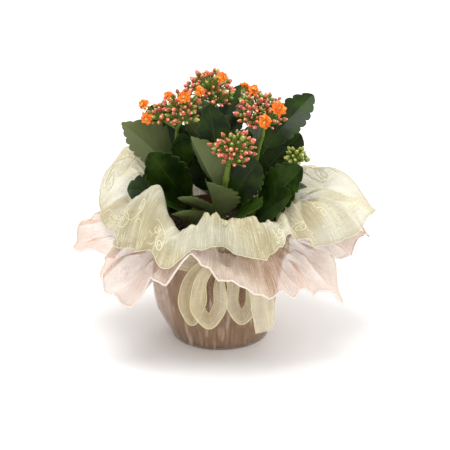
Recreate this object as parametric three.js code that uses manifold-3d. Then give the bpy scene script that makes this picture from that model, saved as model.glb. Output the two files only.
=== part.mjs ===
// A potted kalanchoe in a plastic florist's pot, wrapped in two sheer organza squares
// that are gathered at the rim by one wide ribbon. Millimetres, +Z up, -Y is the front,
// origin at the middle of the underside.
import * as THREE from "three";
import Module from "manifold-3d";
import { mergeVertices } from "three/addons/utils/BufferGeometryUtils.js";

const wasm = await Module();
wasm.setup();

// ---- driving dimensions ----
const SHEET = 0.8; // thickness of each closed cloth shell
const CLEAR = 0.35; // gap that neighbours keep
const FLOOR = { blush: SHEET / 2, cream: SHEET * 1.5 + CLEAR, pot: 2 * (SHEET + CLEAR) };
const POT = { baseR: 45, topR: 63, lipR: 65, height: 118, lip: 8, wall: 2.2, floor: 3, sides: 20 };
const DRAINS = { count: 4, radius: 4, out: 26 };
const SOIL = { below: 12, dome: 4, lumps: 2.4, holeR: 4.4, sunk: 26 };
const PLEATS = 13; // gathers round the pot
const SAMPLES = PLEATS * 4;
const WALL_Z = 46; // height between foot and neck where the cloth bags out most
const SLACK = { towards: 188, spread: 38, least: 0.8, most: 8.5 }; // cloth off the pot's wall
const OFF = { cream: 1.1, blush: 1.1 + SHEET + 0.75 }; // middle of each sheet off the pot's wall
const NECK_Z = 98; // height of the tie
const LIP_Z = 112.5; // where the collar springs from the pot's lip
const COLLAR_STEPS = 4;
const SPRING = { out: 0.08, up: 0.8, over: 0.35 }; // how steeply the collar leaves the lip
const CREST_AT = { cream: 0.5, blush: 0.55 }; // share of the collar's reach where it crests
const LIP_ROOM = 0.6; // more room over the pot's lip than along its wall
const UNDER = 4; // least height of the cream sheet over the blush one
const PAST = 8; // beyond the cream hem by this the blush sheet is free to rise
const GATHER = [0, 1.6, 0.9, 0.9, 1.2, 2.6, 3.2, 2.8, 2.2]; // depth of the gathers, row by row
const RIBBON = { width: 16, thick: 0.8, bandR: 67.6 };
const STEM_R = 3.4;
// A leaf's margin has round teeth; its stalk takes up the first part of its length, and a leaf
// that is folded tapers more to its tip and is widest nearer its foot
const LEAF = {
  teeth: 4, notch: 0.86, thick: 1.9, thin: 0.45, stalk: 0.12, stalkHalf: 0.14, leastHalf: 0.8,
  wideAt: 1.05, blunt: 0.55, foldedWideAt: -0.4, foldedBlunt: 0.6,
};
const BUD = { length: 7.5, radius: 3.3, stalk: 0.55, tip: 0.5 };
const GOLDEN_ANGLE = 2.39996;

// Collar of each sheet, counter-clockwise from the front: [angle, reach, hem height, crest height]
const COLLAR = {
  cream: [
    [-90, 90, 128, 158], [-81, 98, 120, 160], [-71, 105, 120, 152], [-59, 105, 125, 145],
    [-49, 96, 131, 144], [-35, 104, 118, 152], [-20, 124, 110, 158], [-7, 140, 115, 150],
    [1, 152, 123, 146], [10, 137, 144, 152], [19, 108, 160, 162], [38, 98, 152, 156],
    [58, 116, 158, 162], [76, 124, 142, 158], [95, 104, 154, 156], [114, 120, 148, 162],
    [134, 104, 160, 162], [153, 108, 172, 176], [165, 124, 138, 168], [177, 116, 108, 128],
    [193, 98, 110, 128], [211, 116, 116, 158], [220, 112, 117, 182], [231, 106, 120, 152],
    [241, 110, 112, 136], [256, 96, 125, 150],
  ],
  blush: [
    [-90, 100, 99, 116], [-73, 110, 88, 112], [-57, 113, 83, 108], [-44, 117, 79, 104],
    [-32, 137, 68, 104], [-22, 118, 92, 110], [-9, 129, 85, 108], [2, 144, 101, 114],
    [22, 132, 112, 122], [40, 116, 98, 114], [58, 124, 108, 120], [78, 108, 92, 112],
    [98, 126, 104, 120], [118, 110, 92, 112], [138, 120, 106, 122], [158, 128, 108, 120],
    [171, 144, 104, 112], [182, 143, 90, 102], [194, 108, 92, 108], [207, 126, 88, 110],
    [217, 131, 76, 106], [226, 118, 66, 102], [234, 112, 92, 108], [243, 113, 100, 116],
    [254, 99, 119, 128], [264, 96, 110, 122],
  ],
};

// Leafy stems: a route from below the soil to the tip, then the leaves, each
// [height of its foot, tip x, y, z, width, arch, roll in degrees, fold]
const STEMS = {
  left: {
    route: [[-24, 2], [-30, 0], [-40, -2, 198]],
    leaves: [
      [157, -92, -14, 221, 46, 6, 78, 0.8], [128, -65, -42, 201, 42, 6, -120, 0.15],
      [122, -89, -4, 150, 42, 14, -45, 0.1], [176, -66, 14, 229, 38, 6, -60, 0.15],
      [128, -72, 36, 168, 40, 12, 0, 0.2], [150, -62, 46, 200, 36, 8, 10, 0.2],
      [118, -56, -46, 157, 34, 9, -35, 0.15], [152, -48, 22, 211, 36, 8, -45, 0.15],
      [111, -46, -34, 136, 28, 6, -25, 0.15], [168, -36, -18, 212, 24, 4, -163, 0.2],
    ],
  },
  centre: {
    route: [[-4, 10], [-6, 10], [-10, 12, 214]],
    leaves: [
      [184, -30, -6, 220, 24, 5, 30, 0.2], [190, 20, 32, 244, 26, 5, 0, 0.2],
      [178, -34, 34, 222, 32, 8, 0, 0.2], [172, 22, 34, 214, 30, 6, 0, 0.2],
      [196, 8, -4, 226, 18, 3, 0, 0.15], [150, 20, -8, 175, 24, 7, 70, 0.15],
      [124, 22, -12, 157, 30, 6, 96, 0.15], [138, -25, 14, 184, 34, 4, -73, 0.15],
    ],
  },
  front: {
    route: [[2, -22], [2, -30], [8, -34, 186]],
    leaves: [
      [126, -12, -46, 174, 44, 3, -10, 0.7], [128, -38, -60, 164, 22, 7, 28, 0.15],
      [116, -42, -62, 149, 34, 9, 27, 0.1], [120, 39, -66, 158, 30, 9, 30, 0.15],
      [152, -27, -30, 213, 38, 3, 58, 0.8], [158, -10, -8, 237, 36, 2, -20, 0.12],
      [172, 27, -5, 211, 28, 4, 42, 0.2], [138, 36, -30, 189, 38, 6, 79, 0.15],
    ],
  },
  right: {
    route: [[22, 6], [28, 4], [40, -4, 204]],
    leaves: [
      [150, 78, 12, 201, 44, 6, 58, 0.2], [182, 90, 34, 234, 34, 4, 39, 0.3],
      [140, 74, 44, 172, 40, 10, 0, 0.2], [176, 46, 52, 212, 32, 7, 0, 0.2],
      [126, 84, 4, 150, 34, 10, 0, 0.2],
    ],
  },
  back: {
    route: [[0, 30], [0, 38], [2, 48, 196]],
    leaves: [
      [150, -48, 76, 184, 40, 9, 0, 0.2], [144, 46, 80, 180, 40, 10, 0, 0.2],
      [124, 2, 92, 160, 42, 12, 0, 0.2], [124, -45, 56, 152, 30, 10, 0, 0.2],
      [176, -24, 80, 216, 28, 6, 0, 0.2], [178, 28, 82, 214, 28, 6, 0, 0.2],
      [124, 46, 58, 152, 30, 10, 0, 0.2],
    ],
  },
  side: {
    route: [[26, -16], [32, -20], [58, -22, 168]],
    leaves: [[130, 77, -46, 188, 46, -2, 66, 0.2], [117, 67, -54, 164, 36, 6, 50, 0.15]],
  },
};

// Flower sprays: the stem that carries each, its fork, and its heads of buds
// [x, y, z, radius, buds]; blooms are open flowers, [head, x, y, z, size, facing x, y, z]
const SPRAYS = {
  top: {
    stem: "centre", fork: [-8, 12, 228],
    heads: [[-12, 6, 262, 20, 12], [4, 0, 244, 15, 6], [-14, 32, 246, 14, 6]],
    blooms: [[0, 3, -6, 263, 6.5, 0.5, -0.8, 0.6], [2, -13, 42, 250, 7, 0, 0.8, 0.6]],
  },
  left: {
    stem: "left", fork: [-40, -6, 213],
    heads: [[-33, -14, 247, 17, 11], [-64, -10, 230, 15, 8], [-31, -26, 233, 13, 5]],
    blooms: [
      [0, -33, -26, 250, 7.5, -0.1, -0.9, 0.5], [0, -48, -18, 249, 5.5, -0.7, -0.6, 0.5],
      [0, -18, -20, 254, 6, 0.4, -0.7, 0.7], [1, -71, -13, 239, 6.5, -0.5, -0.8, 0.5],
      [1, -68, -22, 228, 6.5, -0.2, -1, 0.1],
    ],
  },
  right: {
    stem: "right", fork: [41, -8, 218],
    heads: [[30, 4, 244, 16, 8], [50, -18, 229, 17, 11], [21, -22, 231, 13, 6], [50, 6, 240, 10, 3]],
    blooms: [
      [0, 32, -2, 250, 6, 0, -0.6, 0.8], [1, 55, -29, 240, 8, 0.2, -0.9, 0.5],
      [1, 42, -33, 228, 8, -0.2, -1, 0.3],
    ],
  },
  front: {
    stem: "front", fork: [12, -38, 197],
    heads: [[18, -44, 216, 19, 13], [16, -55, 198, 10, 4]],
    blooms: [],
  },
  back: {
    stem: "back", fork: [2, 48, 210],
    heads: [[-16, 56, 232, 15, 6], [20, 54, 226, 15, 6]],
    blooms: [
      [0, -20, 66, 238, 8, -0.2, 0.9, 0.5], [0, -6, 62, 238, 7, 0.2, 0.7, 0.7],
      [1, 24, 64, 231, 8, 0.2, 0.9, 0.5], [1, 33, 54, 229, 7, 0.8, 0.2, 0.6],
    ],
  },
  side: { stem: "side", fork: [67, -20, 180], heads: [[77, -14, 191, 9, 6]], blooms: [] },
};

// ---- materials ----
const material = (color, roughness) => new THREE.MeshStandardMaterial({ color, roughness, metalness: 0 });
const POT_BROWN = material(0x7b5f51, 0.5);
const EARTH = material(0x2e2119, 0.95);
const CREAM = material(0xeee6c4, 0.7);
const BLUSH = material(0xf0cdb6, 0.7);
const RIBBON_IVORY = material(0xe9dcae, 0.6);
const LEAF_GREEN = material(0x1d3a1c, 0.45);
const BUD_PINK = material(0xd8766a, 0.6);
const PETAL_ORANGE = material(0xf5751a, 0.6);

// ---- small tools ----
const radians = THREE.MathUtils.degToRad;
const mix = THREE.MathUtils.lerp;
const vec = (p) => new THREE.Vector3(...p);
const smooth = (t) => t * t * (3 - 2 * t);

function seeded(seed) {
  let state = seed;
  return () => {
    state = (state * 1664525 + 1013904223) % 4294967296;
    return state / 4294967296;
  };
}

function solid(geometry) {
  const bare = geometry.index ? geometry.toNonIndexed() : geometry.clone();
  bare.deleteAttribute("normal");
  bare.deleteAttribute("uv");
  const merged = mergeVertices(bare, 1e-4);
  return new wasm.Manifold(new wasm.Mesh({
    numProp: 3,
    vertProperties: new Float32Array(merged.attributes.position.array),
    triVerts: new Uint32Array(merged.index.array),
  }));
}

function fuse(solids) {
  let layer = solids;
  while (layer.length > 1) {
    const next = [];
    for (let i = 0; i < layer.length; i += 2) {
      next.push(i + 1 < layer.length ? layer[i].add(layer[i + 1]) : layer[i]);
    }
    layer = next;
  }
  return layer[0];
}

function meshOf(name, body, look) {
  const { vertProperties, triVerts } = body.getMesh();
  const geometry = new THREE.BufferGeometry();
  geometry.setAttribute("position", new THREE.BufferAttribute(new Float32Array(vertProperties), 3));
  geometry.setIndex(new THREE.BufferAttribute(new Uint32Array(triVerts), 1));
  const mesh = new THREE.Mesh(geometry, look);
  mesh.name = name;
  return mesh;
}

// A closed solid through rings of points, each ring closed, with a fan over both ends
function loft(rings) {
  const around = rings[0].length;
  const points = rings.flat();
  const faces = [];
  for (let k = 0; k + 1 < rings.length; k += 1) {
    for (let i = 0; i < around; i += 1) {
      const a = k * around + i;
      const b = k * around + ((i + 1) % around);
      faces.push(a, b, b + around, a, b + around, a + around);
    }
  }
  const last = (rings.length - 1) * around;
  for (let i = 1; i + 1 < around; i += 1) faces.push(0, i + 1, i, last, last + i, last + i + 1);
  const geometry = new THREE.BufferGeometry();
  geometry.setAttribute("position", new THREE.Float32BufferAttribute(points.flatMap((p) => p.toArray()), 3));
  geometry.setIndex(faces);
  return geometry;
}

// A rod of straight stretches with a radius at each point
function rod(points, radii, sides) {
  const rings = points.map((point, k) => {
    const ahead = points[Math.min(k + 1, points.length - 1)];
    const along = ahead.clone().sub(points[Math.max(k - 1, 0)]).normalize();
    const side = new THREE.Vector3(1, 0.13, 0.07).cross(along).normalize();
    const other = along.clone().cross(side);
    return Array.from({ length: sides }, (_, i) => {
      const turn = (2 * Math.PI * i) / sides;
      const ring = side.clone().multiplyScalar(Math.cos(turn)).addScaledVector(other, Math.sin(turn));
      return point.clone().addScaledVector(ring, radii[k]);
    });
  });
  return solid(loft(rings));
}

// ---- the pot and its soil ----
function potRadius(z) {
  const share = (z - FLOOR.pot) / (POT.height - POT.lip);
  return mix(POT.baseR, POT.topR, THREE.MathUtils.clamp(share, 0, 1));
}

// A profile of [radius, height] turned round the axis
function turned(profile, sides) {
  const points = profile.map((p) => new THREE.Vector2(...p));
  return new THREE.LatheGeometry(points, sides).rotateX(Math.PI / 2);
}

function upright(radius, z0, z1, x, y, sides) {
  const post = new THREE.CylinderGeometry(radius, radius, z1 - z0, sides).rotateX(Math.PI / 2);
  return solid(post.translate(x, y, (z0 + z1) / 2));
}

function makePot() {
  const { baseR, topR, lipR, height, lip, wall, floor, sides } = POT;
  const body = solid(turned([
    [0, 0], [baseR, 0], [topR, height - lip], [lipR, height - lip], [lipR, height],
    [lipR - wall, height], [topR - wall, height - lip - wall], [baseR - wall, floor], [0, floor],
  ], sides));
  const drains = Array.from({ length: DRAINS.count }, (_, i) => {
    const turn = (2 * Math.PI * i) / DRAINS.count;
    return upright(DRAINS.radius, -1, floor + 1, DRAINS.out * Math.cos(turn), DRAINS.out * Math.sin(turn), 6);
  });
  return body.subtract(fuse(drains)).translate([0, 0, FLOOR.pot]);
}

const SOIL_Z = FLOOR.pot + POT.height - SOIL.below;

function makeSoil() {
  const inner = (z) => potRadius(z) - POT.wall - CLEAR - 0.2;
  const low = FLOOR.pot + POT.floor + CLEAR;
  const rings = 2;
  const profile = [[0, low], [inner(low), low], [inner(SOIL_Z), SOIL_Z]];
  for (let k = rings; k >= 1; k -= 1) {
    const share = (k - 0.4) / rings;
    profile.push([inner(SOIL_Z) * share, SOIL_Z + SOIL.dome * (1 - share * share)]);
  }
  profile.push([0, SOIL_Z + SOIL.dome]);
  const random = seeded(11);
  const geometry = turned(profile, POT.sides);
  geometry.deleteAttribute("normal");
  geometry.deleteAttribute("uv");
  const merged = mergeVertices(geometry, 1e-4);
  const place = merged.attributes.position;
  for (let i = 0; i < place.count; i += 1) {
    if (place.getZ(i) > SOIL_Z + 0.01) place.setZ(i, place.getZ(i) + SOIL.lumps * (random() - 0.5));
  }
  const holes = Object.values(STEMS).map(({ route }) =>
    upright(SOIL.holeR, SOIL_Z - SOIL.sunk, SOIL_Z + 20, ...route[0], 6));
  return solid(merged).subtract(fuse(holes));
}

// ---- the two organza squares ----
// Value in a column of a collar's rows at an angle, eased from row to row
function around(rows, angle, column) {
  const turn = 360;
  const at = ((((angle - rows[0][0]) % turn) + turn) % turn) + rows[0][0];
  const index = rows.findIndex((row, i) => i === rows.length - 1 || rows[i + 1][0] > at);
  const here = rows[index];
  const next = rows[(index + 1) % rows.length];
  const span = ((next[0] - here[0] + turn) % turn) || turn;
  return mix(here[column], next[column], smooth((at - here[0]) / span));
}

// The cloth hugs the pot on the right and bags out on the left
function slack(angle, z) {
  const off = Math.abs(((angle - SLACK.towards + 540) % 360) - 180) / SLACK.spread;
  const height = THREE.MathUtils.clamp(z / NECK_Z, 0, 1);
  return (SLACK.least + SLACK.most * Math.exp(-off * off)) * Math.sin(Math.PI * height ** 0.8);
}

// A sheet's profile at an angle, from under the pot out to the hem, as [radius, height]
function sheetProfile(angle, name) {
  const off = OFF[name];
  const lipR = POT.lipR + off + LIP_ROOM;
  const near = (z) => [potRadius(z) + off, z];
  const cup = [
    [POT.baseR + off - 0.2, FLOOR[name]], [potRadius(WALL_Z) + off + slack(angle, WALL_Z), WALL_Z],
    near(NECK_Z - 7), near(NECK_Z + 6), [lipR, LIP_Z],
  ];
  const [reach, hem, crest] = [1, 2, 3].map((column) => around(COLLAR[name], angle, column));
  const lift = crest + (crest - Math.max(hem, LIP_Z - 6)) * SPRING.over;
  const ends = [
    [lipR, LIP_Z], [mix(lipR, reach, SPRING.out), mix(LIP_Z, lift, SPRING.up)],
    [mix(lipR, reach, CREST_AT[name]), lift], [reach, hem],
  ].map(([r, z]) => new THREE.Vector2(r, z));
  const collar = new THREE.CubicBezierCurve(...ends).getPoints(COLLAR_STEPS).slice(1);
  return [...cup, ...collar.map(({ x, y }) => [x, y])];
}

// The same profile, with the blush sheet kept under the cream one
function layeredProfile(angle, name) {
  const cream = sheetProfile(angle, "cream");
  if (name === "cream") return cream;
  const blush = sheetProfile(angle, "blush");
  const collar = cream.slice(-COLLAR_STEPS - 1);
  const over = (r) => {
    const k = collar.findIndex((p) => p[0] > r);
    if (k < 1) return k === 0 ? collar[0][1] : collar[COLLAR_STEPS][1];
    return mix(collar[k - 1][1], collar[k][1], (r - collar[k - 1][0]) / (collar[k][0] - collar[k - 1][0]));
  };
  const reach = collar[COLLAR_STEPS][0];
  return blush.map(([r, z], k) => {
    if (k <= blush.length - 1 - COLLAR_STEPS || r > reach + PAST) return [r, z];
    return [r, Math.min(z, over(r) - UNDER)];
  });
}

// Points on the middle of a sheet: its profile at each angle, pushed out where it gathers
function sheetGrid(name) {
  return Array.from({ length: SAMPLES }, (_, i) => {
    const angle = (360 * i) / SAMPLES;
    const wave = Math.cos((2 * Math.PI * PLEATS * i) / SAMPLES);
    const profile = layeredProfile(angle, name);
    return profile.map(([r, z], k) => {
      const before = profile[Math.max(k - 1, 0)];
      const after = profile[Math.min(k + 1, profile.length - 1)];
      const length = Math.hypot(after[0] - before[0], after[1] - before[1]);
      const push = GATHER[k] * (wave + 1) * 0.5;
      const radius = r + (push * (after[1] - before[1])) / length;
      const height = z - (push * (after[0] - before[0])) / length;
      return new THREE.Vector3(radius * Math.cos(radians(angle)), radius * Math.sin(radians(angle)), height);
    });
  });
}

// A closed shell on both sides of a sheet's middle, split alike, with a disc under the pot
function makeSheet(name) {
  const grid = sheetGrid(name);
  const rows = grid[0].length;
  const last = rows - 1;
  const round = (i) => (i + SAMPLES) % SAMPLES;
  const at = (i, k) => grid[round(i)][THREE.MathUtils.clamp(k, 0, last)];
  const normal = (i, k) => {
    const along = at(i, k + 1).clone().sub(at(i, k - 1));
    return at(i + 1, k).clone().sub(at(i - 1, k)).cross(along).normalize();
  };
  const floor = grid[0][0].z;
  const positions = [0, 0, floor - SHEET / 2, 0, 0, floor + SHEET / 2];
  for (let i = 0; i < SAMPLES; i += 1) {
    for (let k = 0; k < rows; k += 1) {
      const half = normal(i, k).multiplyScalar(SHEET / 2);
      positions.push(...at(i, k).clone().add(half).toArray(), ...at(i, k).clone().sub(half).toArray());
    }
  }
  const under = (i, k) => 2 + 2 * (round(i) * rows + k);
  const upper = (i, k) => under(i, k) + 1;
  const faces = [];
  for (let i = 0; i < SAMPLES; i += 1) {
    const j = i + 1;
    faces.push(0, under(j, 0), under(i, 0), 1, upper(i, 0), upper(j, 0));
    for (let k = 0; k < last; k += 1) {
      faces.push(under(i, k), under(j, k), under(j, k + 1), under(i, k), under(j, k + 1), under(i, k + 1));
      faces.push(upper(i, k), upper(j, k + 1), upper(j, k), upper(i, k), upper(i, k + 1), upper(j, k + 1));
    }
    faces.push(under(i, last), under(j, last), upper(j, last));
    faces.push(under(i, last), upper(j, last), upper(i, last));
  }
  const geometry = new THREE.BufferGeometry();
  geometry.setAttribute("position", new THREE.Float32BufferAttribute(positions, 3));
  geometry.setIndex(faces);
  return solid(geometry);
}

// ---- the ribbon: a band at the neck, a knot, three loops and two tails ----
const KNOT = [-2, -RIBBON.bandR - 3.5, NECK_Z + 2];
const KNOT_HALF = [11, 5, 9];
// Each run hangs in front of the knot: how far forward, its twist on the straps and at the turn,
// and its route as [x, height]
const RUNS = [
  {
    forward: 70.5, twist: [44, 62],
    route: [[-4, 100], [-16, 101], [-29, 84], [-33, 62], [-26, 45], [-19, 62], [-17, 84], [-6, 99]],
  },
  {
    forward: 77.5, twist: [40, 58],
    route: [[-4, 101], [-13, 97], [-19, 82], [-21, 60], [-10, 45], [0, 60], [0, 82], [-1, 100]],
  },
  {
    forward: 71, twist: [44, 62],
    route: [[0, 101], [8, 98], [13, 82], [12, 61], [21, 46], [30, 61], [29, 82], [18, 97], [2, 99]],
  },
  { forward: 77, twist: [12, 12], route: [[0, 100], [20, 99], [34, 82], [38, 58], [42, 34]] },
  { forward: 69, twist: [62, 62], route: [[0, 99], [26, 98], [42, 86], [47, 64], [49, 35]] },
];
const TURN = { from: 66, over: 20 }; // heights in which a run twists from its straps to its turn
const TIED = { narrow: 0.3, ease: 4.5, sway: 2.5 }; // how a run widens and swings out of the knot

// A flat strip that hangs along a route, turned about it from its straps to its lowest point
function makeRun({ forward, twist, route }) {
  const curve = new THREE.CatmullRomCurve3(route.map(([x, z]) => new THREE.Vector3(x, -forward, z)));
  const steps = route.length + 3;
  const rings = Array.from({ length: steps + 1 }, (_, k) => {
    const t = k / steps;
    const point = curve.getPoint(t);
    const along = curve.getTangent(t);
    const low = THREE.MathUtils.clamp((TURN.from - point.z) / TURN.over, 0, 1);
    const turn = radians(mix(twist[0], twist[1], low));
    const tied = route.length > 5 ? Math.min(t, 1 - t) : t; // both ends of a loop, one of a tail
    const free = smooth(THREE.MathUtils.clamp(tied * TIED.ease, 0, 1));
    point.y = mix(KNOT[1], point.y + TIED.sway * (t - 0.5), free);
    const inward = new THREE.Vector3(-along.z, 0, along.x).normalize();
    const across = inward.multiplyScalar(Math.cos(turn)).add(new THREE.Vector3(0, Math.sin(turn), 0));
    const half = (RIBBON.width / 2) * mix(TIED.narrow, 1, free);
    const out = along.clone().cross(across).normalize().multiplyScalar(RIBBON.thick / 2);
    across.multiplyScalar(half);
    return [
      point.clone().sub(across).add(out), point.clone().sub(across).sub(out),
      point.clone().add(across).sub(out), point.clone().add(across).add(out),
    ];
  });
  return solid(loft(rings));
}

function makeRibbon() {
  const { bandR, width, thick } = RIBBON;
  const low = NECK_Z - width / 2;
  const outerR = bandR + thick;
  const section = [[bandR, low], [outerR, low], [outerR, low + width], [bandR, low + width], [bandR, low]];
  const band = solid(turned(section, POT.sides));
  const knot = solid(new THREE.SphereGeometry(1, 8, 5).scale(...KNOT_HALF).translate(...KNOT));
  return fuse([band, knot, ...RUNS.map(makeRun)]);
}

// ---- the plant ----
// Half width of a leaf along its length, as a share of its greatest half width
function leafOutline(t, fold) {
  const blade = Math.max(t - LEAF.stalk, 0) / (1 - LEAF.stalk);
  const wideAt = LEAF.wideAt + LEAF.foldedWideAt * fold ** 2;
  const blunt = LEAF.blunt + LEAF.foldedBlunt * fold ** 2;
  return Math.max(LEAF.stalkHalf * (1 - 0.4 * t), Math.sin(Math.PI * blade ** wideAt) ** blunt);
}

// A leaf from its foot to its tip: arched, rolled about its midrib in degrees, and folded
// along it by a share of its half width
function leaf(foot, tip, width, arch, roll, fold) {
  const reach = tip.clone().sub(foot);
  const flat = new THREE.Vector3(reach.x, reach.y, 0).normalize();
  const middle = foot.clone().lerp(tip, 0.5).addScaledVector(flat, arch * 0.3);
  middle.z += arch;
  const midrib = new THREE.QuadraticBezierCurve3(foot, middle, tip);
  const stations = 2 * LEAF.teeth + 1;
  const rings = Array.from({ length: stations + 1 }, (_, k) => {
    const t = k / stations;
    const point = midrib.getPoint(t);
    const along = midrib.getTangent(t);
    const up = new THREE.Vector3(0, 0, 1).addScaledVector(along, -along.z);
    if (up.length() < 0.2) up.addScaledVector(flat, -1);
    up.addScaledVector(along, -up.dot(along)).normalize();
    const side = along.clone().cross(up);
    const face = up.multiplyScalar(Math.cos(radians(roll))).addScaledVector(side, Math.sin(radians(roll)));
    const toothed = k % 2 === 0 && t > 2 * LEAF.stalk ? LEAF.notch : 1;
    const half = Math.max(LEAF.leastHalf, (width / 2) * leafOutline(t, fold) * toothed);
    const across = along.clone().cross(face).multiplyScalar(half);
    const thick = (LEAF.thick / 2) * (1 - LEAF.thin * t) + (t < LEAF.stalk ? 0.6 : 0);
    const margin = point.clone().addScaledVector(face, fold * half);
    return [
      point.clone().addScaledVector(face, -thick), margin.clone().sub(across),
      point.clone().addScaledVector(face, thick), margin.clone().add(across),
    ];
  });
  return solid(loft(rings));
}

function stemCurve(route) {
  const [[x, y], [midX, midY], [topX, topY, topZ]] = route;
  const from = SOIL_Z + 7;
  return new THREE.QuadraticBezierCurve3(
    vec([x, y, from]), vec([midX, midY, mix(from, topZ, 0.5)]), vec([topX, topY, topZ]));
}

function pointAtHeight(curve, z) {
  let [low, high] = [0, 1];
  for (let i = 0; i < 24; i += 1) {
    const middle = (low + high) / 2;
    if (curve.getPoint(middle).z < z) low = middle;
    else high = middle;
  }
  return curve.getPoint(low);
}

function makeStem({ route, leaves }) {
  const curve = stemCurve(route);
  const steps = 5;
  const foot = (z) => vec([...route[0], z]);
  const points = [foot(SOIL_Z - SOIL.sunk + 1), foot(SOIL_Z + 5), ...curve.getPoints(steps).slice(1)];
  const radii = points.map((_, k) => STEM_R * (1 - (0.3 * k) / steps));
  const blades = leaves.map(([z, x, y, tipZ, width, arch, roll, fold]) => {
    const from = pointAtHeight(curve, z);
    const out = new THREE.Vector3(x - from.x, y - from.y, 0).setLength(STEM_R * 0.55);
    return leaf(from.add(out), vec([x, y, tipZ]), width, arch, roll, fold);
  });
  return fuse([rod(points, radii, 6), ...blades]);
}

// A bud on its stalk, from the node that it springs from
function bud(node, axis, reach, size) {
  const at = (distance) => node.clone().addScaledVector(axis, distance);
  const length = BUD.length * size;
  return rod(
    [at(reach * 0.12), at(reach - length * 0.1), at(reach + length * 0.3), at(reach + length * 0.7)],
    [BUD.stalk, BUD.stalk, BUD.radius * size, BUD.tip], 3);
}

const BLOOM_FOOT = 0.75; // a bloom's foot below its middle, as a share of its size

// Stalks fork to heads of buds spread over a dome, with room left for the open flowers
const HEAD = {
  core: 0.22, under: 0.9, least: 0.55, top: 0.06, cover: 0.84, near: 0.86, vary: 0.2, room: 2.4,
};

function makeSpray({ stem, fork, heads, blooms }, seed) {
  const random = seeded(seed);
  const crotch = vec(fork);
  const end = stemCurve(STEMS[stem].route).getTangent(1);
  const start = vec(STEMS[stem].route[2]).addScaledVector(end, CLEAR + 0.15);
  const pieces = [rod([start, start.clone().addScaledVector(end, 3), crotch], [2.3, 2.2, 2], 5)];
  const open = blooms.map(([, bx, by, bz, size]) => (
    { at: vec([bx, by, bz]), room: size + BUD.radius + HEAD.room }
  ));
  heads.forEach(([x, y, z, radius, count], h) => {
    const top = vec([x, y, z]);
    const rise = top.clone().sub(crotch).normalize();
    const node = top.clone().addScaledVector(rise, -radius * HEAD.under);
    node.z = Math.min(node.z, z - radius * HEAD.least);
    pieces.push(rod([crotch.clone().sub(rise), node], [1.8, 1.5], 4));
    pieces.push(solid(new THREE.OctahedronGeometry(radius * HEAD.core, 0).translate(...node.toArray())));
    for (let i = 0; i < count; i += 1) {
      const polar = Math.acos(1 - (HEAD.top + (HEAD.cover * (i + 0.5)) / count));
      const turn = GOLDEN_ANGLE * i + h + 0.5 * random();
      const out = Math.sin(polar);
      const axis = vec([out * Math.cos(turn), out * Math.sin(turn), Math.cos(polar)]);
      const reach = radius * (HEAD.near + HEAD.vary * random());
      const place = node.clone().addScaledVector(axis, reach);
      const taken = open.some((flower) => flower.at.distanceTo(place) < flower.room);
      if (!taken) pieces.push(bud(node, axis, reach, 0.85 + 0.3 * random()));
    }
    blooms.filter((bloom) => bloom[0] === h).forEach(([, bx, by, bz, size, ...facing]) => {
      const axis = vec(facing).normalize();
      const foot = vec([bx, by, bz]).addScaledVector(axis, -size * BLOOM_FOOT - CLEAR);
      const bend = foot.clone().addScaledVector(axis, -2);
      const from = bend.clone().sub(node).normalize().add(node);
      pieces.push(rod([from, bend, foot], [1, 0.9, 0.9], 3));
    });
  });
  return fuse(pieces);
}

// A double flower's profile from the foot of its calyx to its middle: each ring is
// [radius, height, depth of the notches between its petals, turn in petals]
const BLOOM_RINGS = [
  [0.12, -BLOOM_FOOT, 0, 0], [1, 0.02, 0.3, 0], [1, 0.14, 0.3, 0], [0.52, 0.18, 0.1, 0],
  [0.78, 0.42, 0.3, 0.5], [0.34, 0.36, 0.1, 0.5], [0.42, 0.62, 0.2, 0],
];
const BLOOM_PETALS = 5;

function makeBloom([, x, y, z, size, ...facing]) {
  const perPetal = 2; // a notch and a tip
  const rings = BLOOM_RINGS.map(([radius, height, notch, turn]) =>
    Array.from({ length: BLOOM_PETALS * perPetal }, (_, i) => {
      const angle = (2 * Math.PI * (i / perPetal + turn)) / BLOOM_PETALS;
      const reach = size * radius * (i % perPetal === 0 ? 1 - notch : 1);
      return new THREE.Vector3(reach * Math.cos(angle), reach * Math.sin(angle), size * height);
    }));
  const shape = loft(rings);
  const up = new THREE.Vector3(0, 0, 1);
  shape.applyQuaternion(new THREE.Quaternion().setFromUnitVectors(up, vec(facing).normalize()));
  return solid(shape.translate(x, y, z));
}

// ---- the object ----
const object = new THREE.Group();
object.name = "potted_kalanchoe";
object.add(meshOf("pot", makePot(), POT_BROWN));
object.add(meshOf("potting_soil", makeSoil(), EARTH));
object.add(meshOf("wrap_cream", makeSheet("cream"), CREAM));
object.add(meshOf("wrap_blush", makeSheet("blush"), BLUSH));
object.add(meshOf("ribbon", makeRibbon(), RIBBON_IVORY));
for (const [name, stem] of Object.entries(STEMS)) {
  object.add(meshOf(`leafy_stem_${name}`, makeStem(stem), LEAF_GREEN));
}
Object.entries(SPRAYS).forEach(([name, spray], i) => {
  object.add(meshOf(`spray_${name}`, makeSpray(spray, 31 + i), BUD_PINK));
  spray.blooms.forEach((bloom, k) => {
    object.add(meshOf(`bloom_${name}_${k + 1}`, makeBloom(bloom), PETAL_ORANGE));
  });
});

export default object;
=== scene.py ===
"""A potted kalanchoe: a florist's pot wrapped in two sheer organza squares tied with a ribbon.
+Z is up and -Y is the front. Shapes are worked out in millimetres and become metres in make_piece."""
import math

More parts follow.
